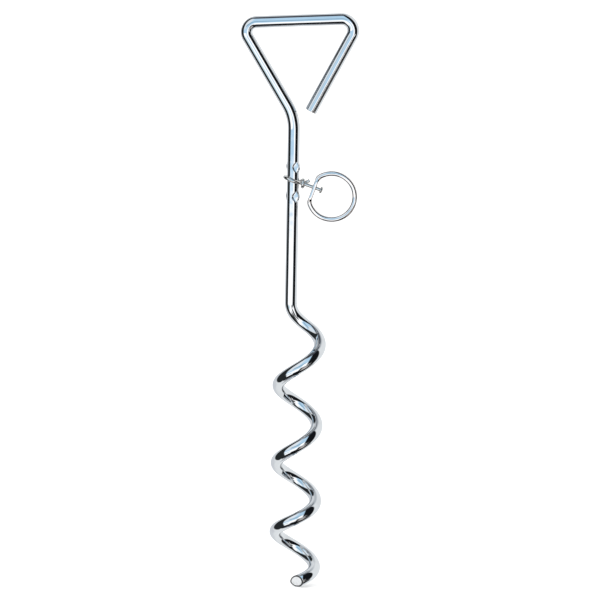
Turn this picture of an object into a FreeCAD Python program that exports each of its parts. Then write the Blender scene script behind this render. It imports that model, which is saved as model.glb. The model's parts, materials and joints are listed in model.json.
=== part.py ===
"""Spiral ground stake with a swivelling tie-out ring.

One round rod is bent into a triangular handle, a straight shank and a right-handed
corkscrew.  Two pairs of ears coined into the shank keep a wire eye between them.  The
eye turns about the shank, and a round ring turns about the eye's headed pin.

Frame: Z runs up the shank's axis, X lies in the plane of the handle, and the origin is
on the shank's axis where the corkscrew begins, at ground level once the stake is in.
"""
import FreeCAD, Part

import math
import os

V = FreeCAD.Vector
UP = V(0, 0, 1)

# Rod
ROD_DIAMETER = 9.0

# Handle, in the XZ plane.  Lengths run between the corners of the rod's centreline.
SHANK_TOP_Z = 138.0          # where the shank's axis meets the first leg's
FIRST_LEG = 80.0
FIRST_LEG_ANGLE = 31.0       # from the vertical, towards -X
CROSSBAR = 89.5
CROSSBAR_SLOPE = 3.0         # rises towards +X
LAST_LEG = 78.0
LAST_LEG_ANGLE = 27.5        # from the vertical, back towards the shank
SHANK_BEND_RADIUS = 36.0
FIRST_CORNER_RADIUS = 7.5
LAST_CORNER_RADIUS = 8.5

ARC_SHARE = 0.48             # of the shorter run beside a corner, where the bar has no set radius

# Corkscrew
COIL_RADIUS = 14.4           # to the rod's centreline
COIL_START_ANGLE = 124.0     # where the shank stands on the coil, from +X
LEAD_IN = 17.5               # depth over which the shank bends into the coil
PITCH = 60.0                 # of the first turns
# (depth, turns made beyond those of an even pitch) as the coil closes up lower down
CLOSING = ((60, 0.0), (90, 0.006), (117, 0.04), (145, 0.075), (168, 0.19), (194, 0.256), (206, 0.375))
AXIS_DRIFT = 2.0             # the coil's axis wanders this far towards -X
AXIS_DRIFT_DEPTH = 80.0
COIL_STEPS = 54              # arcs that make up the coil
TIP_DEPTH = 202.7            # of the middle of the tip's slanting cut
TIP_FACING_TURN = -129.4     # the cut faces this way round from +X
TIP_FACING_DIP = 16.4        # and this far below the level

# Ears coined out of the rod, one each side of the shank
EAR_UPPER_Z = 100.7
EAR_LOWER_Z = 78.8
EAR_HEIGHT = 7.8
EAR_SPAN = 12.0              # over both ears
EAR_THICKNESS = 3.6
EAR_TURN = -40.0             # the ears stand this far round from the handle's plane
FLAT_INNER_REACH = 2.45      # from the shank's axis to the coined flats' inner edge

# Swivel eye: one wire, headed at the ring's end.  Distances along the pin's axis are
# from the shank's axis.
EYE_WIRE = 2.5
EYE_Z = 90.9                 # where the pin's axis meets the shank's axis
EYE_DROOP = 19.0             # the pin slopes down away from the shank
LOOP_HALF_LENGTH = 6.4       # of the loop's centreline, along the pin's axis
LOOP_HALF_WIDTH = 6.15
LOOP_OPENING = 68.0          # the angle that the loop leaves open towards the pin
PIN_BEND = 6.8               # where the pin turns off its axis into the loop
WRAP_FRONT = 7.8             # where the wrapped tail crosses in front of the pin
WRAP_BITE = 0.1              # how deep the wrapped tail is pressed into the pin
WRAP_PITCH = 2.7
STUB_ALONG = 11.8            # the wrapped tail's cut end
STUB_BEHIND = 2.5
STUB_ABOVE = 3.5
HEAD_DIAMETER = 5.6
HEAD_THICKNESS = 2.1
HEAD_DOME = 0.9              # how much of the thickness is domed
HEAD_INNER_FACE = 21.1

# Ring
RING_WIRE = 4.0
RING_RADIUS = 17.0           # to the wire's centreline
RING_CENTRE = 30.9           # along the pin's axis
RING_DROP = 1.9              # the hole is off the flat's middle, so the ring hangs this far down
FLAT_OFFSET = 14.3           # from the ring's centre to the middle of the flat
FLAT_LENGTH = 12.6
FLAT_THICKNESS = 2.9
FLAT_WIDTH = 5.8
SHOULDER_BULGE = 0.3         # the wire's bend outside the flat's ends
PIN_HOLE = 2.8


def main():
    os.makedirs("parts", exist_ok=True)
    save(stake_rod(), "stake_rod")
    save(on_pin_axis(swivel_eye()), "swivel_eye")
    save(on_pin_axis(ring()), "ring")


def save(shape, node):
    shape.exportStep("parts/" + node + ".step")
    box = shape.BoundBox
    print("%-12s valid %s, solids %d, volume %.1f mm3, X %.1f..%.1f Y %.1f..%.1f Z %.1f..%.1f" % (
        node, shape.isValid(), len(shape.Solids), shape.Volume,
        box.XMin, box.XMax, box.YMin, box.YMax, box.ZMin, box.ZMax))


# ---------------------------------------------------------------- paths and sweeps

def rounded_path(corners, radii):
    """Straight runs between the corners, joined by tangent arcs of the given radii."""
    edges = []
    start = corners[0]
    for before, corner, after, radius in zip(corners, corners[1:], corners[2:], radii):
        into = (corner - before).normalize()
        out = (after - corner).normalize()
        turn = into.getAngle(out)
        setback = radius * math.tan(turn / 2)
        arc_start = corner - into * setback
        arc_end = corner + out * setback
        inward = (out - into).normalize()
        arc_middle = corner + inward * (radius / math.cos(turn / 2) - radius)
        edges.append(Part.LineSegment(start, arc_start).toShape())
        edges.append(Part.Arc(arc_start, arc_middle, arc_end).toShape())
        start = arc_end
    edges.append(Part.LineSegment(start, corners[-1]).toShape())
    return edges


def widest_radii(corners):
    """At each inner corner, the largest radius that leaves room for its neighbours' arcs."""
    radii = []
    for before, corner, after in zip(corners, corners[1:], corners[2:]):
        into = corner - before
        out = after - corner
        shorter = min(into.Length, out.Length)
        radii.append(ARC_SHARE * shorter / math.tan(into.getAngle(out) / 2))
    return radii


def round_bar(edges, diameter):
    """A round bar along a smooth chain of edges."""
    path = Part.Wire(edges)
    first = edges[0]
    start = first.valueAt(first.FirstParameter)
    along = first.tangentAt(first.FirstParameter)
    section = Part.Wire(Part.Circle(start, along, diameter / 2).toShape())
    bar = path.makePipeShell([section], True, False)
    expected = path.Length * math.pi * diameter ** 2 / 4
    print("bar %.1f long, volume over section x length %.5f" % (path.Length, bar.Volume / expected))
    return bar


# ---------------------------------------------------------------- the stake rod

def stake_rod():
    coil = coil_corners()
    cut_middle = (coil[-2] + coil[-1]) * 0.5
    spare_end = coil[-1] + (coil[-1] - coil[-2]).normalize() * ROD_DIAMETER / 2
    corners = handle_corners() + coil[:-1] + [spare_end]
    handle_radii = [LAST_CORNER_RADIUS, FIRST_CORNER_RADIUS, SHANK_BEND_RADIUS]
    radii = handle_radii + widest_radii(corners)[len(handle_radii):]
    rod = round_bar(rounded_path(corners, radii), ROD_DIAMETER)
    rod = rod.cut(tip_offcut(cut_middle))
    for height in (EAR_UPPER_Z, EAR_LOWER_Z):
        rod = coin_ears(rod, height)
    return rod.removeSplitter()


def handle_corners():
    """The handle's corners, from its open end round to the shank."""
    first = math.radians(FIRST_LEG_ANGLE)
    slope = math.radians(CROSSBAR_SLOPE)
    last = math.radians(LAST_LEG_ANGLE)
    foot = V(0, 0, SHANK_TOP_Z)
    first_corner = foot + V(-math.sin(first), 0, math.cos(first)) * FIRST_LEG
    last_corner = first_corner + V(math.cos(slope), 0, math.sin(slope)) * CROSSBAR
    open_end = last_corner - V(math.sin(last), 0, math.cos(last)) * LAST_LEG
    return [open_end, last_corner, first_corner, foot]


def coil_turns(depth):
    """Turns made down to a depth: they build up evenly over the lead-in, then the pitch closes."""
    if depth < LEAD_IN:
        return depth ** 2 / (2 * LEAD_IN * PITCH)
    return (depth - LEAD_IN / 2) / PITCH + closing_turns(depth)


def closing_turns(depth):
    """A smooth curve through the closing's stops, level before the first."""
    depths, turns = zip(*CLOSING)
    if depth <= depths[0]:
        return turns[0]
    i = max(j for j in range(len(depths) - 1) if depths[j] < depth)
    width = depths[i + 1] - depths[i]
    t = (depth - depths[i]) / width
    rise = turns[i] + (turns[i + 1] - turns[i]) * t ** 2 * (3 - 2 * t)
    leaving = closing_slope(i) * (t ** 3 - 2 * t ** 2 + t)
    arriving = closing_slope(i + 1) * (t ** 3 - t ** 2)
    return rise + width * (leaving + arriving)


def closing_slope(i):
    """Turns per millimetre at a stop: level at the first, then along its neighbours' chord."""
    if i == 0:
        return 0.0
    before = CLOSING[i - 1]
    after = CLOSING[min(i + 1, len(CLOSING) - 1)]
    return (after[1] - before[1]) / (after[0] - before[0])


def coil_corner(depth, step):
    """A corner of the coil's path, far enough out for the arcs to run at the coil's radius."""
    turned_by = math.pi * (coil_turns(depth + step / 2) - coil_turns(max(depth - step / 2, 0)))
    radius = COIL_RADIUS / math.cos(turned_by)
    start = math.radians(COIL_START_ANGLE)
    angle = start - 2 * math.pi * coil_turns(depth)
    share = min(depth / AXIS_DRIFT_DEPTH, 1)
    drift = AXIS_DRIFT * share ** 2 * (3 - 2 * share)
    return V(radius * math.cos(angle) - COIL_RADIUS * math.cos(start) - drift,
             radius * math.sin(angle) - COIL_RADIUS * math.sin(start),
             -depth)


def coil_corners():
    """Corners at even depths, so placed that the tip's cut comes halfway between the last two."""
    step = TIP_DEPTH / (COIL_STEPS - 0.5)
    return [coil_corner(step * i, step) for i in range(COIL_STEPS + 1)]


def tip_offcut(middle):
    """What the slanting cut takes off the tip."""
    turn = math.radians(TIP_FACING_TURN)
    dip = math.radians(TIP_FACING_DIP)
    facing = V(math.cos(dip) * math.cos(turn), math.cos(dip) * math.sin(turn), -math.sin(dip))
    reach = 2 * ROD_DIAMETER
    return Part.makeCylinder(reach, reach, middle, facing)


def coin_ears(rod, height):
    """Squeeze an ear out of each side of the rod, leaving lens-shaped flats front and back."""
    half = EAR_THICKNESS / 2
    for side in (1, -1):
        outline = lens(side * FLAT_INNER_REACH, side * EAR_SPAN / 2, height)
        rod = rod.fuse(turned(slab(outline, -half, EAR_THICKNESS)))
        for y_start in (half, -half - ROD_DIAMETER):
            rod = rod.cut(turned(slab(outline, y_start, ROD_DIAMETER)))
    return rod


def turned(shape):
    shape.rotate(V(0, 0, 0), UP, EAR_TURN)
    return shape


def lens(x_inner, x_outer, height):
    """A closed outline in the XZ plane: two arcs that meet in points above and below."""
    rim = math.copysign(ROD_DIAMETER / 2 - 0.1, x_outer)
    low = V(rim, 0, height - EAR_HEIGHT / 2)
    high = V(rim, 0, height + EAR_HEIGHT / 2)
    outer = Part.Arc(low, V(x_outer, 0, height), high).toShape()
    inner = Part.Arc(high, V(x_inner, 0, height), low).toShape()
    return Part.Face(Part.Wire([outer, inner]))


def slab(face, y_start, thickness):
    moved = face.copy()
    moved.translate(V(0, y_start, 0))
    return moved.extrude(V(0, thickness, 0))


# ---------------------------------------------------------------- the swivel eye
# Made lying along +X, with the shank's axis crossing it at the origin, then tilted.

def swivel_eye():
    """One wire, in two stretches: head, pin and loop, then the tail wrapped about the pin."""
    pin_end = V(HEAD_INNER_FACE + HEAD_THICKNESS / 2, 0, 0)
    loop = loop_corners()
    wrap = wrap_corners()
    halfway = (loop[-1] + wrap[0]) * 0.5
    stub_end = V(STUB_ALONG, STUB_BEHIND, STUB_ABOVE)
    first = [pin_end, V(PIN_BEND, 0, 0)] + loop + [halfway]
    second = [halfway] + wrap + [stub_end]
    bars = [round_bar(rounded_path(corners, widest_radii(corners)), EYE_WIRE) for corners in (first, second)]
    return bars[0].fuse([bars[1], pin_head()]).removeSplitter()


def loop_corners():
    """The oval about the shank, open towards the pin."""
    steps = 10
    step = (360 - LOOP_OPENING) / steps
    stretch = 1 / math.cos(math.radians(step / 2))
    corners = []
    for i in range(steps + 1):
        angle = math.radians(-LOOP_OPENING / 2 - i * step)
        corners.append(V(LOOP_HALF_LENGTH * math.cos(angle), LOOP_HALF_WIDTH * math.sin(angle), 0) * stretch)
    return corners


def wrap_corners():
    """The tail climbs over the pin from behind, comes down in front and goes under to the back."""
    step = 45
    radius = (EYE_WIRE - WRAP_BITE) / math.cos(math.radians(step / 2))
    corners = []
    for degrees in range(60, 376, step):
        angle = math.radians(degrees)
        along = WRAP_FRONT + WRAP_PITCH * (degrees - 180) / 360
        corners.append(V(along, radius * math.cos(angle), radius * math.sin(angle)))
    return corners


def pin_head():
    """An upset button: flat under, a low dome outside."""
    face = V(HEAD_INNER_FACE, 0, 0)
    along = V(1, 0, 0)
    rim = HEAD_DIAMETER / 2
    dome_radius = (rim ** 2 + HEAD_DOME ** 2) / (2 * HEAD_DOME)
    button = Part.makeCylinder(rim, HEAD_THICKNESS, face, along)
    dome = Part.makeSphere(dome_radius, face + along * (HEAD_THICKNESS - dome_radius), along)
    return button.common(dome)


# ---------------------------------------------------------------- the ring

def ring():
    """A round wire ring, flattened and drilled where the pin passes through."""
    flat_x = RING_CENTRE - FLAT_OFFSET
    centre = V(RING_CENTRE, 0, -RING_DROP)
    flat_ends = [V(flat_x, 0, -RING_DROP - FLAT_LENGTH / 2), V(flat_x, 0, -RING_DROP + FLAT_LENGTH / 2)]
    body = Part.makeLoft([flat_section(end, UP) for end in flat_ends], True)
    round_end = math.acos(FLAT_OFFSET / RING_RADIUS) + math.radians(8)
    arc_ends = []
    for sign, flat_end in zip((-1, 1), flat_ends):
        outward = V(-math.cos(round_end), 0, sign * math.sin(round_end))
        heading = V(math.sin(round_end), 0, sign * math.cos(round_end))
        straight = V(0, 0, sign)
        end = centre + outward * RING_RADIUS
        halfway = (flat_end + end) * 0.5 - V(SHOULDER_BULGE, 0, 0)
        sections = [
            flat_section(flat_end, straight),
            mixed_section(halfway, heading + straight),
            round_section(end, heading),
        ]
        body = body.fuse(Part.makeLoft(sections, True))
        arc_ends.append(end)
    arc = Part.Arc(arc_ends[1], centre + V(RING_RADIUS, 0, 0), arc_ends[0])
    body = body.fuse(round_bar([arc.toShape()], RING_WIRE))
    hole_start = V(flat_x - FLAT_WIDTH, 0, 0)
    hole = Part.makeCylinder(PIN_HOLE / 2, 2 * FLAT_WIDTH, hole_start, V(1, 0, 0))
    return body.cut(hole).removeSplitter()


def flat_section(centre, along):
    return pillow(centre, along, FLAT_THICKNESS / 2, FLAT_WIDTH / 2, 0.93, 0.78)


def mixed_section(centre, along):
    return pillow(centre, along, 0.435 * RING_WIRE, 0.62 * RING_WIRE, 0.82, 0.74)


def round_section(centre, along):
    share = math.sqrt(0.5)
    return pillow(centre, along, RING_WIRE / 2, RING_WIRE / 2, share, share)


def pillow(centre, along, half_thickness, half_width, corner_thickness, corner_width):
    """Four arcs about the wire; thickness lies in the ring's plane and width across it."""
    across = V(0, 1, 0)
    in_plane = V(along).normalize().cross(across)
    corners = []
    for i, j in ((1, -1), (1, 1), (-1, 1), (-1, -1)):
        corners.append(centre + in_plane * (i * corner_thickness * half_thickness)
                       + across * (j * corner_width * half_width))
    middles = [centre + in_plane * half_thickness, centre + across * half_width,
               centre - in_plane * half_thickness, centre - across * half_width]
    arcs = []
    for i in range(4):
        arcs.append(Part.Arc(corners[i], middles[i], corners[(i + 1) % 4]).toShape())
    return Part.Wire(arcs)


def on_pin_axis(shape):
    """Tilt a shape made along +X down by the eye's droop, and lift it to its place."""
    placed = shape.copy()
    placed.rotate(V(0, 0, 0), V(0, 1, 0), EYE_DROOP)
    placed.translate(V(0, 0, EYE_Z))
    return placed


main()
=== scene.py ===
"""Looks of the spiral ground stake: a chrome-plated rod, its wire swivel eye and its ring.

Lengths are in millimetres and angles in degrees until a mesh is made.  The frame is the
CAD model's: Z up the shank's axis, X in the plane of the handle.
"""

import json
import math

import bmesh
import bpy
from mathutils import Matrix, Quaternion, Vector, noise


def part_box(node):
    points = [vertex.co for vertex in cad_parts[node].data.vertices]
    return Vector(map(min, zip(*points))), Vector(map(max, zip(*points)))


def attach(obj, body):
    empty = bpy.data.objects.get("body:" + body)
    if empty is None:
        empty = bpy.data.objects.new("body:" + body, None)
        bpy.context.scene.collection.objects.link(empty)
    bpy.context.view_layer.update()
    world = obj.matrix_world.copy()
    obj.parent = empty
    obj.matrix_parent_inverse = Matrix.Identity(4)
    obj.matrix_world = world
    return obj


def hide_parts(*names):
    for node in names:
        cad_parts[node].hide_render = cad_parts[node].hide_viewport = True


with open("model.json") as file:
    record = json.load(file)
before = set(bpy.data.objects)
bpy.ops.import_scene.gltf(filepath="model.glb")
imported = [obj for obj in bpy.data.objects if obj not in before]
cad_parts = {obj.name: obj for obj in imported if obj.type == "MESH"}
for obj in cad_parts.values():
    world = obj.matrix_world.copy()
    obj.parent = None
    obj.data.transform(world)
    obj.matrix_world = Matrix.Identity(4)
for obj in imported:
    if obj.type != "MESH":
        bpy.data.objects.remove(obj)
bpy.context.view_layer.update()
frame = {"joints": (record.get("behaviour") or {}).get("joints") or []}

MM = 0.001
UP = Vector((0, 0, 1))
TINY = 1e-6                   # keeps a division off zero
ARC_SHARE = 0.48              # how much of the shorter run an arc may take on its side

# Rod
ROD_RADIUS = 4.5
ROD_SIDES = 96
ROD_STEP = 0.9                # between the rings of the rod's skin
SHANK_TOP = 138.0             # where the shank's axis meets the first leg's
FIRST_LEG = 80.0
FIRST_LEG_ANGLE = 31.0        # from the vertical, towards -X
CROSSBAR = 89.5
CROSSBAR_SLOPE = 3.0
LAST_LEG = 78.0
LAST_LEG_ANGLE = 27.5
LAST_CORNER_RADIUS = 8.5
FIRST_CORNER_RADIUS = 7.5
SHANK_BEND_RADIUS = 36.0
CORNER_SQUEEZE = 0.035        # how much thinner the rod gets in the handle's tight corners
CORNER_REACH = 11.0           # where the thinning starts, away from the corner
CORNER_FULL = 3.0             # where it is full
ROD_WAVER = 0.035             # bending leaves the corkscrew this uneven
WAVER_DEPTH = 12.0            # below the coil's start, where that is full
WAVER_BY_PLACE = 0.11         # how fast it changes along the rod
WAVER_BY_SIDE = 0.8           # and round it

# Cut ends.  A vertex's cut is one of the first three, and the material follows it.
PLATED = 0.0
CUT_RIM = 0.5
CUT_FACE = 1.0
CUT_ROUNDING = 0.45           # the rims of the rod's cut ends
CUT_RELIEF = 0.1              # how uneven the rod's cut faces are
RELIEF_SCALE = 0.9            # how fast that changes over a face
LIP_STEPS = (0.0, 0.15, 0.4, 0.6, 0.8, 1.0)
LIP_PLATED = 0.15             # how far the plating goes round the lip
FACE_STEPS = (0.93, 0.87, 0.84, 0.72, 0.6, 0.47, 0.34, 0.2, 0.08)
FACE_RIM = 0.85               # the dark rim's inner edge, as a share of the face
CUT_HALVINGS = 30             # of the search for the cut
RIM_POINTS = 2                # of the rod's path, whose place the open end's rim takes

# Corkscrew
COIL_RADIUS = 14.4
COIL_START_ANGLE = 124.0
LEAD_IN = 17.5
PITCH = 60.0
CLOSING = (                   # (depth, turns made beyond those of an even pitch)
    (60, 0.0), (90, 0.006), (117, 0.04), (145, 0.075), (168, 0.19), (194, 0.256), (206, 0.375),
)
AXIS_DRIFT = 2.0
AXIS_DRIFT_DEPTH = 80.0
COIL_STEPS = 420
TIP_DEPTH = 202.7             # of the middle of the tip's slanting cut
TIP_FACING_TURN = -129.4
TIP_FACING_DIP = 16.4
TIP_LEAN_STEPS = 28           # rings that lean over towards the cut
TIP_SPARE_STEPS = 16          # path past the cut's middle

# Ears coined out of the shank
EAR_HEIGHTS = (100.7, 78.8)
EAR_HEIGHT = 7.8
EAR_REACH = 6.0
EAR_ROOT_HALF_THICKNESS = 2.7
EAR_TAPER = 0.27              # how fast the ears thin towards their rims
EAR_TURN = -40.0
EAR_STEP = 0.14
EAR_MARGIN = 1.0              # how far past an ear its close steps go
FLAT_INNER_REACH = 2.45
COINED_EDGE = 0.16            # how softly the coined faces meet

# Swivel eye, along its pin from the shank's axis
EYE_SIDES = 40
EYE_STEP = 0.25
EYE_WIRE_RADIUS = 1.33
EYE_WAVER = 0.02              # how uneven the wire is
EYE_WAVER_SCALE = 0.5         # how fast that changes
EYE_CUT_ROUNDING = 0.2
EYE_CUT_RELIEF = 0.06
LOOP_HALF_LENGTH = 6.4
LOOP_HALF_WIDTH = 6.07
LOOP_OPENING = 68.0
LOOP_RUNS = 10                # straight runs that the loop is rounded from
PIN_BEND = 6.8
WRAP_FRONT = 7.8
WRAP_RADIUS = 2.5
WRAP_PITCH = 2.7
WRAP_START = 60               # round the pin, from Y towards Z
WRAP_FRONT_ANGLE = 180
WRAP_TURN = 45                # between the corners that the wrap is rounded from
WRAP_CORNERS = 8
STUB_END = Vector((11.8, 2.5, 3.5))
HEAD_RADIUS = 2.8
HEAD_THICKNESS = 2.1
HEAD_DOME = 0.9
HEAD_INNER_FACE = 21.1
DOME_STEPS = (0.05, 0.18, 0.32, 0.46, 0.6, 0.72, 0.83, 0.91)
HEAD_RIM_ANGLES = (60, 30, 0, -30, -60, -90)
HEAD_FILLET = (               # (beyond the wire's radius, behind the head)
    (0.55, 0.0), (0.18, 0.12), (0.03, 0.4),
)
FILLET_POINTS = 3             # of the wire's path, whose place the fillet takes

# Ring
RING_SIDES = 64
RING_STEP = 0.35
RING_WIRE_RADIUS = 2.0
RING_RADIUS = 17.0
RING_CENTRE = 30.9
RING_DROP = 1.9
FLAT_OFFSET = 14.3
FLAT_LENGTH = 12.6
FLAT_HALF_THICKNESS = 1.45
FLAT_HALF_WIDTH = 2.9
FLAT_SQUARENESS = 4.6         # the power of the flat's superellipse
FLAT_RUN_OUT = 3.6            # past the flat's ends, to where the wire is round
FLAT_RUN_IN = 0.4             # short of its ends, to where it is quite flat
NEAR_SIDE_START = 4.0         # from the ring's centre towards the flat
NEAR_SIDE_FULL = 8.0
SHOULDER_TURN = 8.0           # how much of the arc each shoulder takes
SHOULDER_FULLNESS = 1.05
SHOULDER_STEPS = 10
PIN_HOLE_RADIUS = 1.4
DRILL_REACH = 4.0             # past the flat's middle, each way
SHARP_ANGLE = 40.0

# Plating.  Noise scales are to a metre; a grain's are round the wire and along it.
ROD_TINT = (0.80, 0.81, 0.82)
WIRE_TINT = (0.70, 0.685, 0.66)
RING_TINT = (0.88, 0.84, 0.82)
ROD_WAVINESS = 1.0
WIRE_WAVINESS = 0.8
ROUGHNESS_RANGE = (0.0225, 0.054)     # from clear to hazy
HAZE_SCALE = 90.0
HAZE_RANGE = (0.42, 0.72)
HAZE_SHARE = 0.5
HAZE_DULLING = 0.86
DRAWN_GRAIN = (14.0, 0.035)
DRAWN_HEIGHT = 0.0000012      # in metres, as the other heights here are
SCRATCH_GRAIN = (3.0, 2.2)
SCRATCH_SCALE = 1.6
SCRATCH_RANGE = (0.715, 0.74)
SCRATCH_ROUGHNESS = 0.12
SCRATCH_HEIGHT = 0.000002
SWELL_SCALE = 110.0
SWELL_HEIGHT = 0.00005
PIT_SCALE = 1500.0
PIT_RANGE = (0.74, 0.8)
PIT_HEIGHT = 0.000004
MOTTLE_SCALE = 700.0          # of the cut faces
CUT_PALE = (0.76, 0.77, 0.78)
CUT_DARK = (0.58, 0.60, 0.62)
# Painted shade: the rims about the cut faces are painted near-black, standing in for the dark edge
# lines that shade and dark reflections make there
RIM_PAINTED_SHADE = (0.07, 0.075, 0.08)
RIM_SHADE_RANGE = (0.1, 0.4)        # how far from the rim's cut its painted shade fades out
CUT_METALLIC = 0.0            # cut faces are frosted rather than bright
CUT_ROUGHNESS = 0.4

# View
CAMERA_ELEVATION = 8.0
CAMERA_ROLL = 1.0
CAMERA_DISTANCE = 20000.0
FIELD = 440.4                 # width of the view at the stake
AIM_RIGHT = 6.72              # of the frame's origin, across the view
AIM_UP = 1.91
SENSOR = 36.0
CLIP_END = 200000.0
FLOOR_REACH = 40000.0
FLOOR_COLOUR = (0.95, 0.95, 0.95, 1)
FLOOR_ROUGHNESS = 0.9
WORLD_STRENGTH = 1.45
TENT_RADIUS = 3000.0
TENT_SUBDIVISIONS = 5


def main(model):
    ring_joint = next(joint for joint in model["joints"] if joint["child"] == "ring")
    pin_place = pin_frame(ring_joint)
    make_camera()
    make_floor(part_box("stake_rod")[0].z / MM)
    make_studio()
    rod_plating = plating("rod_plating", ROD_TINT, ROD_WAVINESS)
    wire_plating = plating("wire_plating", WIRE_TINT, WIRE_WAVINESS)
    ring_plating = plating("ring_plating", RING_TINT, WIRE_WAVINESS)
    dress(stake_rod(), "stake", "stake_rod", rod_plating)
    dress(swivel_eye(pin_place), "eye", "swivel_eye", wire_plating)
    dress(tie_ring(pin_place), "ring", "ring", ring_plating)


def dress(piece, body, node, material):
    """Give a finished mesh its material and its body, and hide the CAD node that it stands for."""
    piece.data.materials.append(material)
    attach(piece, body)
    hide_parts(node)


# ---------------------------------------------------------------- small maths

def polar(radius, degrees):
    angle = math.radians(degrees)
    return radius * math.cos(angle), radius * math.sin(angle)


def circle(sides):
    """The cosine and sine of each of a ring's lines."""
    return [polar(1.0, 360 * i / sides) for i in range(sides)]


def smooth(low, high, value):
    """0 at low and 1 at high, with an even start and stop."""
    share = min(max((value - low) / (high - low), 0.0), 1.0)
    return share * share * (3 - 2 * share)


def soft_max(a, b, softness):
    """The larger, with the corner between them rounded."""
    mix = max(softness - abs(a - b), 0.0) / softness
    return max(a, b) + mix * mix * softness / 4


def soft_min(a, b, softness):
    return -soft_max(-a, -b, softness)


# ---------------------------------------------------------------- paths

def straight(start, end, step):
    count = max(1, round((end - start).length / step))
    return [start.lerp(end, i / count) for i in range(count)]


def rounded_path(corners, radii, step):
    """Points along straight runs between the corners, joined by tangent arcs."""
    points = []
    start = corners[0]
    for before, corner, after, radius in zip(corners, corners[1:], corners[2:], radii):
        into = (corner - before).normalized()
        out = (after - corner).normalized()
        turn = into.angle(out)
        setback = radius * math.tan(turn / 2)
        arc_start = corner - into * setback
        centre = corner + (out - into).normalized() * (radius / math.cos(turn / 2))
        axis = into.cross(out)
        points += straight(start, arc_start, step)
        count = max(2, math.ceil(radius * turn / step))
        for i in range(count):
            spin = Quaternion(axis, turn * i / count)
            points.append(centre + spin @ (arc_start - centre))
        start = corner + out * setback
    points += straight(start, corners[-1], step)
    points.append(corners[-1])
    return points


def widest_radii(corners):
    """At each inner corner, the largest radius that leaves room for its neighbours' arcs."""
    radii = []
    for before, corner, after in zip(corners, corners[1:], corners[2:]):
        into = corner - before
        out = after - corner
        radii.append(ARC_SHARE * min(into.length, out.length) / math.tan(into.angle(out) / 2))
    return radii


def tangents_of(points, closed):
    last = len(points) - 1
    tangents = []
    for i in range(len(points)):
        before = points[i - 1] if i or closed else points[0]
        after = points[(i + 1) % len(points)] if i < last or closed else points[last]
        tangents.append((after - before).normalized())
    return tangents


def carried_normals(tangents, first):
    """A normal at each point that turns no more than the path makes it turn."""
    normals = []
    normal = first
    for tangent in tangents:
        normal = (normal - tangent * normal.dot(tangent)).normalized()
        normals.append(normal)
    return normals


def lengths_along(points):
    lengths = [0.0]
    for before, after in zip(points, points[1:]):
        lengths.append(lengths[-1] + (after - before).length)
    return lengths


# ---------------------------------------------------------------- skins

class Skin:
    """Rings of vertices about a path, each with its length along the wire and its cut."""

    def __init__(self, sides):
        self.lines = circle(sides)
        self.rings = []

    def add(self, ring, along, cut=PLATED):
        self.rings.append((ring, along, cut))

    def outwards(self, across, upward):
        return [across * cosine + upward * sine for cosine, sine in self.lines]

    def add_round(self, centre, outwards, radii, along):
        ring = [centre + outward * radius for outward, radius in zip(outwards, radii)]
        self.add(ring, along)

    def add_cut_end(self, backs, edge, centre, facing, rounding, along, relief):
        """Round the rim over from the backs to the cut face, then fill the face with rings."""
        lips = [point + (centre - point).normalized() * rounding for point in edge]
        for t in LIP_STEPS:
            ring = []
            for back, corner, lip in zip(backs, edge, lips):
                ring.append(back * (1 - t) ** 2 + corner * (2 * t * (1 - t)) + lip * t ** 2)
            self.add(ring, along, CUT_RIM if t > LIP_PLATED else PLATED)
        for share in FACE_STEPS:
            ring = []
            for lip in lips:
                point = centre.lerp(lip, share)
                ring.append(point + facing * (relief * noise.noise(point * RELIEF_SCALE)))
            self.add(ring, along, CUT_RIM if share > FACE_RIM else CUT_FACE)

    def mesh(self, name, place, closed=False):
        """The rings joined by faces, and joined round again or closed at both ends."""
        bm = bmesh.new()
        grid = [[bm.verts.new(place @ (vertex * MM)) for vertex in ring] for ring, _, _ in self.rings]
        pairs = list(zip(grid, grid[1:]))
        if closed:
            pairs.append((grid[-1], grid[0]))
        sides = len(self.lines)
        for lower, upper in pairs:
            for i in range(sides):
                j = (i + 1) % sides
                bm.faces.new((lower[i], lower[j], upper[j], upper[i]))
        if not closed:
            bm.faces.new(grid[0])
            bm.faces.new(grid[-1])
        bmesh.ops.recalc_face_normals(bm, faces=bm.faces[:])
        for face in bm.faces:
            face.smooth = True
        data = bpy.data.meshes.new(name)
        bm.to_mesh(data)
        bm.free()
        self.mark(data)
        piece = bpy.data.objects.new(name, data)
        bpy.context.scene.collection.objects.link(piece)
        return piece

    def mark(self, data):
        """Tell the material where each vertex is on the wire, and whether it is cut."""
        grain = []
        cuts = []
        for _, along, cut in self.rings:
            for cosine, sine in self.lines:
                grain += (cosine, sine, along)
                cuts.append(cut)
        store(data, "grain", "FLOAT_VECTOR", "vector", grain)
        store(data, "cut", "FLOAT", "value", cuts)


def store(data, name, kind, field, numbers):
    data.attributes.new(name, kind, "POINT").data.foreach_set(field, numbers)


# ---------------------------------------------------------------- stake rod

def handle_corners():
    """The handle's corners, from its open end round to the shank."""
    first = math.radians(FIRST_LEG_ANGLE)
    slope = math.radians(CROSSBAR_SLOPE)
    last = math.radians(LAST_LEG_ANGLE)
    foot = Vector((0, 0, SHANK_TOP))
    first_corner = foot + Vector((-math.sin(first), 0, math.cos(first))) * FIRST_LEG
    last_corner = first_corner + Vector((math.cos(slope), 0, math.sin(slope))) * CROSSBAR
    open_end = last_corner - Vector((math.sin(last), 0, math.cos(last))) * LAST_LEG
    return [open_end, last_corner, first_corner, foot]


def coil_turns(depth):
    """Turns made down to a depth: they build up evenly over the lead-in, then the pitch closes."""
    if depth < LEAD_IN:
        return depth ** 2 / (2 * LEAD_IN * PITCH)
    return (depth - LEAD_IN / 2) / PITCH + closing_turns(depth)


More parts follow.
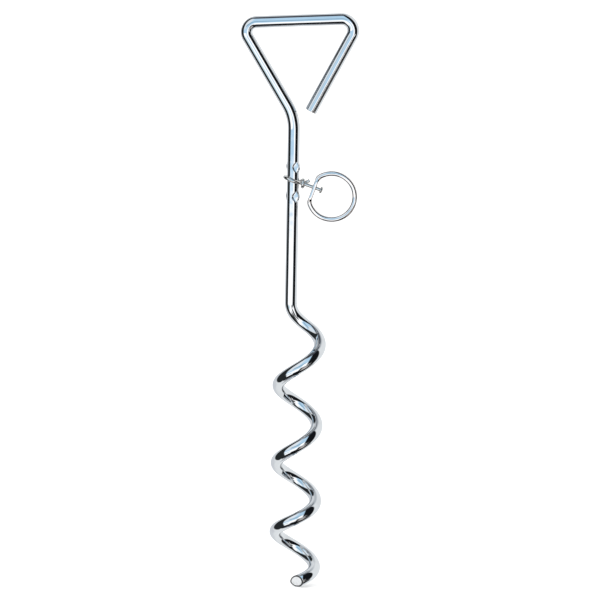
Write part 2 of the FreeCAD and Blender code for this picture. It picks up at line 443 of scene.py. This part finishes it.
def closing_turns(depth):
    """A smooth curve through the closing's stops, level before the first."""
    depths, turns = zip(*CLOSING)
    if depth <= depths[0]:
        return turns[0]
    i = max(j for j in range(len(depths) - 1) if depths[j] < depth)
    width = depths[i + 1] - depths[i]
    t = (depth - depths[i]) / width
    rise = turns[i] + (turns[i + 1] - turns[i]) * t ** 2 * (3 - 2 * t)
    leaving = closing_slope(i) * (t ** 3 - 2 * t ** 2 + t)
    arriving = closing_slope(i + 1) * (t ** 3 - t ** 2)
    return rise + width * (leaving + arriving)


def closing_slope(i):
    """Turns per millimetre at a stop: level at the first, then along its neighbours' chord."""
    if i == 0:
        return 0.0
    before = CLOSING[i - 1]
    after = CLOSING[min(i + 1, len(CLOSING) - 1)]
    return (after[1] - before[1]) / (after[0] - before[0])


def coil_point(depth):
    start_x, start_y = polar(COIL_RADIUS, COIL_START_ANGLE)
    x, y = polar(COIL_RADIUS, COIL_START_ANGLE - 360 * coil_turns(depth))
    drift = AXIS_DRIFT * smooth(0, AXIS_DRIFT_DEPTH, depth)
    return Vector((x - start_x - drift, y - start_y, -depth))


def shank_path(top):
    """Down the shank to the coil, with close steps where the ears are."""
    points = []
    z = top
    while z > 0:
        points.append(Vector((0, 0, z)))
        near = min(abs(z - height) for height in EAR_HEIGHTS)
        z -= EAR_STEP if near < EAR_HEIGHT / 2 + EAR_MARGIN else ROD_STEP
    return points


def rod_path():
    """From the handle's open end to a little past the tip."""
    corners = handle_corners()
    below = corners[-1] - UP * (corners[-1].z - EAR_HEIGHTS[0] - EAR_HEIGHT)
    radii = (LAST_CORNER_RADIUS, FIRST_CORNER_RADIUS, SHANK_BEND_RADIUS)
    points = rounded_path(corners + [below], radii, ROD_STEP)[:-1]
    points += shank_path(below.z)
    for i in range(COIL_STEPS + TIP_SPARE_STEPS):
        points.append(coil_point(TIP_DEPTH * i / COIL_STEPS))
    return points


def coined_radius(height, outward):
    """The shank's radius in one direction, with an ear squeezed out of each side at two heights."""
    radius = ROD_RADIUS
    level = min(abs(height - ear) for ear in EAR_HEIGHTS) / (EAR_HEIGHT / 2)
    if level >= 1:
        return radius
    cosine, sine = polar(1.0, EAR_TURN)
    sideways = max(abs(outward.x * cosine + outward.y * sine), TINY)
    forward = max(abs(outward.y * cosine - outward.x * sine), TINY)
    bow = 1 - level ** 2
    inner = ROD_RADIUS - (ROD_RADIUS - FLAT_INNER_REACH) * bow
    outer = ROD_RADIUS + (EAR_REACH - ROD_RADIUS) * bow
    flat = EAR_ROOT_HALF_THICKNESS / (forward + EAR_TAPER * sideways)
    ear = soft_min(outer / sideways, flat, COINED_EDGE * 2)
    recess = soft_max(inner / sideways, flat, COINED_EDGE)
    return soft_min(max(radius, ear), recess, COINED_EDGE)


def rod_radius(point, outward, corners):
    """The rod's radius, thinner across its tight corners and a little uneven in the corkscrew."""
    radius = coined_radius(point.z, outward)
    near = min((point - corner).length for corner in corners)
    squeeze = CORNER_SQUEEZE * smooth(CORNER_REACH, CORNER_FULL, near)
    radius *= 1 + squeeze * (2 * outward.y ** 2 - 1)
    waver = ROD_WAVER * smooth(0, -WAVER_DEPTH, point.z)
    if waver:
        radius += waver * noise.noise(point * WAVER_BY_PLACE + outward * WAVER_BY_SIDE)
    return radius


def tip_facing():
    """The way the tip's cut face looks: left, down and towards the camera."""
    level, drop = polar(1.0, -TIP_FACING_DIP)
    x, y = polar(level, TIP_FACING_TURN)
    return Vector((x, y, drop))


def on_rod(stations, place, line, corners):
    """A point of the rod's skin, place being a fractional index into the path's stations."""
    i = min(int(place), len(stations) - 2)
    cosine, sine = line
    skin = []
    for point, tangent, normal in stations[i:i + 2]:
        outward = normal * cosine + tangent.cross(normal) * sine
        skin.append(point + outward * rod_radius(point, outward, corners))
    return skin[0].lerp(skin[1], place - i)


def rod_ring(stations, places, corners):
    """One ring of the rod's skin, with a place along the path for each of its lines."""
    return [on_rod(stations, place, line, corners) for place, line in zip(places, circle(ROD_SIDES))]


def place_on_cut(stations, middle, line, corners):
    """Where along the path one line of the rod's skin meets the tip's cut."""
    centre = stations[middle][0]
    facing = tip_facing()
    low = middle - TIP_SPARE_STEPS
    high = len(stations) - 1
    for _ in range(CUT_HALVINGS):
        place = (low + high) / 2
        beyond = (on_rod(stations, place, line, corners) - centre).dot(facing)
        if beyond > 0:
            high = place
        else:
            low = place
    return low


def add_open_end(skin, stations, corners):
    """The square cut at the handle's open end, from the middle of its face outwards."""
    centre, tangent, _ = stations[0]
    edge = rod_ring(stations, [0] * ROD_SIDES, corners)
    backs = [point + tangent * CUT_ROUNDING for point in edge]
    skin.add_cut_end(backs, edge, centre, -tangent, CUT_ROUNDING, 0.0, CUT_RELIEF)
    skin.rings.reverse()


def add_tip(skin, stations, lengths, middle, corners):
    """Rings that lean over more and more towards the slanting cut, and the cut's face."""
    start = middle - TIP_LEAN_STEPS
    step = lengths[-1] - lengths[-2]
    ends = [place_on_cut(stations, middle, line, corners) for line in circle(ROD_SIDES)]
    stops = [end - CUT_ROUNDING / step for end in ends]
    for i in range(TIP_LEAN_STEPS):
        places = [start + (stop - start) * i / TIP_LEAN_STEPS for stop in stops]
        skin.add(rod_ring(stations, places, corners), lengths[start + i])
    backs = rod_ring(stations, stops, corners)
    edge = rod_ring(stations, ends, corners)
    centre = stations[middle][0]
    skin.add_cut_end(backs, edge, centre, tip_facing(), CUT_ROUNDING, lengths[middle], CUT_RELIEF)


def stake_rod():
    """One round rod: handle, shank with its coined ears, corkscrew and slanting tip."""
    points = rod_path()
    tangents = tangents_of(points, closed=False)
    normals = carried_normals(tangents, Vector((0, 1, 0)))
    stations = list(zip(points, tangents, normals))
    lengths = lengths_along(points)
    corners = handle_corners()[1:3]
    middle = len(points) - TIP_SPARE_STEPS
    skin = Skin(ROD_SIDES)
    add_open_end(skin, stations, corners)
    for i in range(RIM_POINTS, middle - TIP_LEAN_STEPS):
        skin.add(rod_ring(stations, [i] * ROD_SIDES, corners), lengths[i])
    add_tip(skin, stations, lengths, middle, corners)
    return skin.mesh("stake_rod_plated", Matrix.Identity(4))


# ---------------------------------------------------------------- swivel eye
# Made lying along +X, with the shank's axis crossing it at the origin.

def pin_frame(ring_joint):
    """Where the pin lies: it points along the ring's axis from the shank's axis."""
    axis = Vector(ring_joint["axis"])
    on_pin = Vector(ring_joint["pos_m"])
    foot = on_pin - axis * (on_pin.x / axis.x)
    droop = math.atan2(-axis.z, axis.x)
    return Matrix.Translation(foot) @ Matrix.Rotation(droop, 4, "Y")


def eye_corners():
    """The wire's corners: pin, loop about the shank, wrap about the pin, and cut end."""
    corners = [Vector((HEAD_INNER_FACE, 0, 0)), Vector((PIN_BEND, 0, 0))]
    step = (360 - LOOP_OPENING) / LOOP_RUNS
    stretch = 1 / math.cos(math.radians(step / 2))
    for i in range(LOOP_RUNS + 1):
        cosine, sine = polar(stretch, -LOOP_OPENING / 2 - i * step)
        corners.append(Vector((LOOP_HALF_LENGTH * cosine, LOOP_HALF_WIDTH * sine, 0)))
    radius = WRAP_RADIUS / math.cos(math.radians(WRAP_TURN / 2))
    for i in range(WRAP_CORNERS):
        degrees = WRAP_START + WRAP_TURN * i
        along = WRAP_FRONT + WRAP_PITCH * (degrees - WRAP_FRONT_ANGLE) / 360
        corners.append(Vector((along, *polar(radius, degrees))))
    return corners + [STUB_END]


def head_profile():
    """The upset head, from its crown back to the pin: radius, and distance along the pin."""
    dome = (HEAD_RADIUS ** 2 + HEAD_DOME ** 2) / (2 * HEAD_DOME)
    crown = HEAD_INNER_FACE + HEAD_THICKNESS
    profile = []
    for share in DOME_STEPS:
        radius = HEAD_RADIUS * share
        profile.append((radius, crown - dome + math.sqrt(dome ** 2 - radius ** 2)))
    rim = HEAD_THICKNESS - HEAD_DOME
    for degrees in HEAD_RIM_ANGLES:
        side, forward = polar(rim / 2, degrees)
        profile.append((HEAD_RADIUS - rim / 2 + side, HEAD_INNER_FACE + rim / 2 + forward))
    for beyond, behind in HEAD_FILLET:
        profile.append((EYE_WIRE_RADIUS + beyond, HEAD_INNER_FACE - behind))
    return profile


def swivel_eye(place):
    """One wire: upset head, pin, loop about the shank, and the tail wrapped about the pin."""
    corners = eye_corners()
    points = rounded_path(corners, widest_radii(corners), EYE_STEP)
    tangents = tangents_of(points, closed=False)
    normals = carried_normals(tangents, UP)
    lengths = lengths_along(points)
    skin = Skin(EYE_SIDES)
    outwards = skin.outwards(normals[0], tangents[0].cross(normals[0]))
    for radius, along in head_profile():
        radii = [radius] * EYE_SIDES
        skin.add_round(Vector((along, 0, 0)), outwards, radii, HEAD_INNER_FACE - along)
    for i in range(FILLET_POINTS, len(points) - 1):
        outwards = skin.outwards(normals[i], tangents[i].cross(normals[i]))
        radii = [eye_radius(points[i], outward) for outward in outwards]
        skin.add_round(points[i], outwards, radii, lengths[i])
    tangent = tangents[-1]
    edge = []
    for outward in skin.outwards(normals[-1], tangent.cross(normals[-1])):
        edge.append(points[-1] + outward * EYE_WIRE_RADIUS)
    backs = [point - tangent * EYE_CUT_ROUNDING for point in edge]
    skin.add_cut_end(backs, edge, points[-1], tangent, EYE_CUT_ROUNDING, lengths[-1], EYE_CUT_RELIEF)
    return skin.mesh("swivel_eye_wire", place)


def eye_radius(point, outward):
    return EYE_WIRE_RADIUS + EYE_WAVER * noise.noise(point * EYE_WAVER_SCALE + outward)


# ---------------------------------------------------------------- ring

def curve_between(start, start_way, end, end_way, count):
    """Points of a smooth curve that leaves along one way and arrives along the other."""
    points = []
    for i in range(count):
        t = i / count
        leaving = start * (2 * t ** 3 - 3 * t ** 2 + 1) + start_way * (t ** 3 - 2 * t ** 2 + t)
        arriving = end * (3 * t ** 2 - 2 * t ** 3) + end_way * (t ** 3 - t ** 2)
        points.append(leaving + arriving)
    return points


def ring_path():
    """Up the flat, round a shoulder, round the arc, and back over the other shoulder."""
    centre = Vector((RING_CENTRE, 0, -RING_DROP))
    flat_x = RING_CENTRE - FLAT_OFFSET
    low = Vector((flat_x, 0, -RING_DROP - FLAT_LENGTH / 2))
    high = Vector((flat_x, 0, -RING_DROP + FLAT_LENGTH / 2))
    round_end = math.degrees(math.acos(FLAT_OFFSET / RING_RADIUS)) + SHOULDER_TURN
    cosine, sine = polar(1.0, round_end)
    top = centre + Vector((-cosine, 0, sine)) * RING_RADIUS
    bottom = centre + Vector((-cosine, 0, -sine)) * RING_RADIUS
    reach = (top - high).length * SHOULDER_FULLNESS
    points = straight(low, high, RING_STEP)
    rising = Vector((sine, 0, cosine)) * reach
    points += curve_between(high, UP * reach, top, rising, SHOULDER_STEPS)
    sweep = 2 * (180 - round_end)
    count = round(math.radians(sweep) * RING_RADIUS / RING_STEP)
    for i in range(count):
        x, z = polar(RING_RADIUS, 180 - round_end - sweep * i / count)
        points.append(centre + Vector((x, 0, z)))
    returning = Vector((-sine, 0, cosine)) * reach
    points += curve_between(bottom, returning, low, UP * reach, SHOULDER_STEPS)
    return points


def flatness(point):
    """1 on the drilled flat, 0 on the round wire."""
    off_middle = abs(point.z + RING_DROP)
    near_side = smooth(RING_CENTRE - NEAR_SIDE_START, RING_CENTRE - NEAR_SIDE_FULL, point.x)
    round_from = FLAT_LENGTH / 2 + FLAT_RUN_OUT
    flat_to = FLAT_LENGTH / 2 - FLAT_RUN_IN
    return near_side * smooth(round_from, flat_to, off_middle)


def ring_radius(point, outward):
    """A superellipse that is the round wire at one end and the pillow-shaped flat at the other."""
    flat = flatness(point)
    thickness = RING_WIRE_RADIUS + (FLAT_HALF_THICKNESS - RING_WIRE_RADIUS) * flat
    width = RING_WIRE_RADIUS + (FLAT_HALF_WIDTH - RING_WIRE_RADIUS) * flat
    power = 2 + (FLAT_SQUARENESS - 2) * flat
    across = abs(outward.y)
    in_plane = math.sqrt(max(1 - across ** 2, 0))
    return ((in_plane / thickness) ** power + (across / width) ** power) ** (-1 / power)


def tie_ring(place):
    """A closed wire ring, flattened and drilled where the pin goes through."""
    points = ring_path()
    tangents = tangents_of(points, closed=True)
    normals = [tangent.cross(Vector((0, 1, 0))) for tangent in tangents]
    lengths = lengths_along(points)
    skin = Skin(RING_SIDES)
    for point, tangent, normal, length in zip(points, tangents, normals, lengths):
        outwards = skin.outwards(normal, tangent.cross(normal))
        radii = [ring_radius(point, outward) for outward in outwards]
        skin.add_round(point, outwards, radii, length)
    piece = skin.mesh("tie_ring", place, closed=True)
    drill(piece, place)
    return piece


def drill(piece, place):
    """Cut the pin's hole through the flat."""
    bit = Skin(RING_SIDES)
    outwards = bit.outwards(Vector((0, 1, 0)), UP)
    for share in (-1, -0.5, 0.5, 1):
        x = RING_CENTRE - FLAT_OFFSET + DRILL_REACH * share
        bit.add_round(Vector((x, 0, 0)), outwards, [PIN_HOLE_RADIUS] * RING_SIDES, x)
    tool = bit.mesh("drill_bit", place)
    cut = piece.modifiers.new("hole", "BOOLEAN")
    cut.operation = "DIFFERENCE"
    cut.solver = "EXACT"
    cut.object = tool
    depsgraph = bpy.context.evaluated_depsgraph_get()
    drilled = bpy.data.meshes.new_from_object(piece.evaluated_get(depsgraph))
    piece.modifiers.clear()
    piece.data = drilled
    bpy.data.objects.remove(tool)
    drilled.set_sharp_from_angle(angle=math.radians(SHARP_ANGLE))


# ---------------------------------------------------------------- node trees

def add(tree, kind, *values, **settings):
    """A node whose inputs, in order, are set to values or linked to other nodes' outputs."""
    node = tree.nodes.new(kind)
    for name, value in settings.items():
        setattr(node, name, value)
    for socket, value in zip(node.inputs, values):
        if isinstance(value, bpy.types.NodeSocket):
            tree.links.new(value, socket)
        elif value is not None:
            socket.default_value = value
    return node


def calc(tree, operation, *values):
    return add(tree, "ShaderNodeMath", *values, operation=operation).outputs[0]


def ramp(tree, value, low, high, out_low=0.0, out_high=1.0, kind="SMOOTHSTEP"):
    numbers = (low, high, out_low, out_high)
    return add(tree, "ShaderNodeMapRange", value, *numbers, interpolation_type=kind).outputs[0]


def mix_colours(tree, share, first, second):
    node = tree.nodes.new("ShaderNodeMix")
    node.data_type = "RGBA"
    for name, value in (("Factor_Float", share), ("A_Color", first), ("B_Color", second)):
        socket = next(s for s in node.inputs if s.identifier == name)
        if isinstance(value, bpy.types.NodeSocket):
            tree.links.new(value, socket)
        elif isinstance(value, float):
            socket.default_value = value
        else:
            socket.default_value = (*value, 1.0)
    return next(s for s in node.outputs if s.identifier == "Result_Color")


def noise_of(tree, vector, scale, detail=2.0, roughness=0.5):
    node = tree.nodes.new("ShaderNodeTexNoise")
    tree.links.new(vector, node.inputs["Vector"])
    node.inputs["Scale"].default_value = scale
    node.inputs["Detail"].default_value = detail
    node.inputs["Roughness"].default_value = roughness
    return node.outputs["Fac"]


def stretched(tree, vector, round_scale, along_scale):
    node = tree.nodes.new("ShaderNodeMapping")
    tree.links.new(vector, node.inputs["Vector"])
    node.inputs["Scale"].default_value = (round_scale, round_scale, along_scale)
    return node.outputs["Vector"]


# ---------------------------------------------------------------- materials

def attribute(tree, name):
    node = tree.nodes.new("ShaderNodeAttribute")
    node.attribute_name = name
    return node.outputs


def plating(name, tint, waviness):
    """Bright plating: drawn lines under it, a faint swell, hazy patches, pits and scratches."""
    material = bpy.data.materials.new(name)
    material.use_nodes = True
    tree = material.node_tree
    shader = tree.nodes["Principled BSDF"]
    grain = attribute(tree, "grain")["Vector"]
    place = tree.nodes.new("ShaderNodeTexCoord").outputs["Object"]
    cut = attribute(tree, "cut")["Fac"]

    haze = ramp(tree, noise_of(tree, place, HAZE_SCALE, 3.0), *HAZE_RANGE)
    drawn = noise_of(tree, stretched(tree, grain, *DRAWN_GRAIN), 1.0, 3.0, 0.6)
    scratch_noise = noise_of(tree, stretched(tree, grain, *SCRATCH_GRAIN), SCRATCH_SCALE, 1.0)
    scratch = ramp(tree, scratch_noise, *SCRATCH_RANGE)

    dull = tuple(HAZE_DULLING * channel for channel in tint)
    colour = mix_colours(tree, calc(tree, "MULTIPLY", haze, HAZE_SHARE), tint, dull)
    # the cut ends' rims get painted shade here, on top of the plated and cut colours
    tree.links.new(cut_colour_and_rim_shade(tree, place, cut, colour), shader.inputs["Base Color"])
    metallic = ramp(tree, cut, PLATED, CUT_FACE, 1.0, CUT_METALLIC)
    tree.links.new(metallic, shader.inputs["Metallic"])

    rough = ramp(tree, haze, 0.0, 1.0, *ROUGHNESS_RANGE, "LINEAR")
    rough = calc(tree, "ADD", rough, calc(tree, "MULTIPLY", scratch, SCRATCH_ROUGHNESS))
    rough = calc(tree, "ADD", rough, calc(tree, "MULTIPLY", cut, CUT_ROUGHNESS))
    tree.links.new(rough, shader.inputs["Roughness"])

    swell = noise_of(tree, place, SWELL_SCALE, 1.0)
    pits = ramp(tree, noise_of(tree, place, PIT_SCALE, 1.0), *PIT_RANGE)
    height = calc(tree, "MULTIPLY", swell, SWELL_HEIGHT * waviness)
    height = calc(tree, "ADD", height, calc(tree, "MULTIPLY", drawn, DRAWN_HEIGHT))
    height = calc(tree, "SUBTRACT", height, calc(tree, "MULTIPLY", scratch, SCRATCH_HEIGHT))
    height = calc(tree, "SUBTRACT", height, calc(tree, "MULTIPLY", pits, PIT_HEIGHT))
    bump = tree.nodes.new("ShaderNodeBump")
    bump.inputs["Distance"].default_value = 1.0
    bump.inputs["Strength"].default_value = 1.0
    tree.links.new(height, bump.inputs["Height"])
    tree.links.new(bump.outputs["Normal"], shader.inputs["Normal"])
    return material


def cut_colour_and_rim_shade(tree, place, cut, plated):
    """The plated colour, with mottled cut faces and painted shade, near-black, on the rims about
    them.
    """
    mottle = mix_colours(tree, noise_of(tree, place, MOTTLE_SCALE, 2.0), CUT_PALE, CUT_DARK)
    colour = mix_colours(tree, ramp(tree, cut, CUT_RIM, CUT_FACE), plated, mottle)
    from_rim = calc(tree, "ABSOLUTE", calc(tree, "SUBTRACT", cut, CUT_RIM))
    # paint the rims near-black: painted shade, not the metal's own colour
    return mix_colours(tree, ramp(tree, from_rim, *RIM_SHADE_RANGE, 1.0, 0.0), colour, RIM_PAINTED_SHADE)


# ---------------------------------------------------------------- camera, floor and studio

def make_camera():
    """A long lens, looking down at the stake by its elevation and rolled as the stake leans."""
    cosine, sine = polar(1.0, CAMERA_ELEVATION)
    level = Vector((1, 0, 0))
    upright = Vector((0, sine, cosine))
    towards = Vector((0, -cosine, sine))
    roll_cosine, roll_sine = polar(1.0, CAMERA_ROLL)
    right = level * roll_cosine + upright * roll_sine
    up = upright * roll_cosine - level * roll_sine
    target = right * AIM_RIGHT + up * AIM_UP
    place = Matrix((right, up, towards)).transposed().to_4x4()
    place.translation = (target + towards * CAMERA_DISTANCE) * MM
    data = bpy.data.cameras.new("camera")
    data.sensor_width = SENSOR
    data.lens = SENSOR * CAMERA_DISTANCE / FIELD
    data.clip_end = CLIP_END * MM
    camera = bpy.data.objects.new("camera", data)
    camera.matrix_world = place
    bpy.context.scene.collection.objects.link(camera)
    bpy.context.scene.camera = camera


def staged(name, bm, material):
    data = bpy.data.meshes.new(name)
    bm.to_mesh(data)
    bm.free()
    data.materials.append(material)
    thing = bpy.data.objects.new(name, data)
    bpy.context.scene.collection.objects.link(thing)
    return thing


def make_floor(height):
    bm = bmesh.new()
    bmesh.ops.create_grid(bm, x_segments=1, y_segments=1, size=FLOOR_REACH * MM)
    bmesh.ops.translate(bm, verts=bm.verts, vec=UP * height * MM)
    material = bpy.data.materials.new("pale_floor")
    material.use_nodes = True
    shader = material.node_tree.nodes["Principled BSDF"]
    shader.inputs["Base Color"].default_value = FLOOR_COLOUR
    shader.inputs["Roughness"].default_value = FLOOR_ROUGHNESS
    shader.inputs["Specular IOR Level"].default_value = 0.0
    floor = staged("floor", bm, material)
    floor.visible_glossy = False


ROOM = (0.88, 0.91, 0.93)
WHITE = (1.35, 1.36, 1.38)
BLUE = (0.56, 0.81, 1.03)
DEEP_BLUE = (0.27, 0.45, 0.60)
DARK = (0.022, 0.026, 0.028)
BLACK = (0.008, 0.009, 0.011)

# The studio, as an object in its middle sees it.  Azimuth 0 is towards the camera and +90
# towards +X; elevation is above the level.  Each panel covers the ones before it.
# (azimuth from, to), (elevation from, to), softness, lean, colour
PANELS = (
    ((-180, 180), (60, 90), 9, 0.0, (0.50, 0.54, 0.58)),      # dim ceiling
    ((-180, -112), (-50, 50), 10, 0.0, (0.72, 0.75, 0.79)),   # back of the room, left
    ((-70, 104), (-76, -35), 3, 0.0, BLACK),                  # table
    ((-70, 104), (-90, -76), 5, 0.0, (0.17, 0.18, 0.22)),     # its top, under the stake
    ((-64, -14), (-44, 0), 3, 0.0, WHITE),                    # sill, left
    ((-64, -24), (-30, -16), 4, 0.0, (0.70, 0.88, 0.97)),     # blue cast on it
    ((-18, 20), (-34, 0), 2, 0.0, WHITE),                     # sill, middle
    ((-64, 44), (-6.3, 70), 0.8, 0.0, BLUE),                  # big window
    ((-64, -22), (8, 64), 6, 0.0, (0.90, 0.98, 1.05)),        # its bright side
    ((-42, 14), (12, 25), 4, 0.0, DEEP_BLUE),                 # a deeper strip across it
    ((8, 40), (-9, 15), 3, 0.0, WHITE),                       # its bright right edge
    ((-116, -60), (-64, 76), 3, 0.42, DARK),                  # dark gap, left
    ((30, 84), (-34, 76), 3, 0.12, BLACK),                    # dark gap, right
    ((10, 60), (-36, -13), 2, 0.0, BLACK),                    # and under the window
    ((74, 90), (-21, -12), 2, -2.8, WHITE),                   # streak across it
    ((28, 60), (-46, -28), 3, 0.0, (0.62, 0.58, 0.57)),       # small card
    ((-180, 180), (72, 90), 3, 0.0, (0.07, 0.08, 0.10)),      # rig overhead
)


def window(tree, value, low, high, softness):
    rise = ramp(tree, value, low - softness, low + softness)
    fall = ramp(tree, value, high - softness, high + softness, 1.0, 0.0)
    return calc(tree, "MULTIPLY", rise, fall)


def make_studio():
    """Even white light from everywhere, and a tent of soft panels that only reflections see."""
    world = bpy.data.worlds.new("even_light")
    bpy.context.scene.world = world
    world.use_nodes = True
    background = world.node_tree.nodes["Background"]
    background.inputs["Color"].default_value = (1, 1, 1, 1)
    background.inputs["Strength"].default_value = WORLD_STRENGTH
    bpy.context.scene.view_settings.view_transform = "Standard"

    bm = bmesh.new()
    bmesh.ops.create_icosphere(bm, subdivisions=TENT_SUBDIVISIONS, radius=TENT_RADIUS * MM)
    tent = staged("light_tent", bm, tent_material())
    tent.visible_camera = False
    tent.visible_diffuse = False
    tent.visible_shadow = False


def tent_material():
    material = bpy.data.materials.new("tent_panels")
    material.use_nodes = True
    tree = material.node_tree
    tree.nodes.clear()
    place = tree.nodes.new("ShaderNodeTexCoord").outputs["Object"]
    way = add(tree, "ShaderNodeVectorMath", place, operation="NORMALIZE").outputs[0]
    parts = add(tree, "ShaderNodeSeparateXYZ", way).outputs
    degrees = 180 / math.pi
    towards_camera = calc(tree, "MULTIPLY", parts["Y"], -1.0)
    azimuth = calc(tree, "MULTIPLY", calc(tree, "ARCTAN2", parts["X"], towards_camera), degrees)
    elevation = calc(tree, "MULTIPLY", calc(tree, "ARCSINE", parts["Z"]), degrees)
    colour = ROOM
    for (left, right), (low, high), softness, lean, panel_colour in PANELS:
        leant = calc(tree, "MULTIPLY_ADD", elevation, lean, azimuth)
        share = calc(tree, "MULTIPLY", window(tree, leant, left, right, softness),
                     window(tree, elevation, low, high, softness))
        colour = mix_colours(tree, share, colour, panel_colour)
    light = add(tree, "ShaderNodeEmission", colour)
    output = tree.nodes.new("ShaderNodeOutputMaterial")
    tree.links.new(light.outputs[0], output.inputs["Surface"])
    material.cycles.emission_sampling = "NONE"
    return material


main(frame)
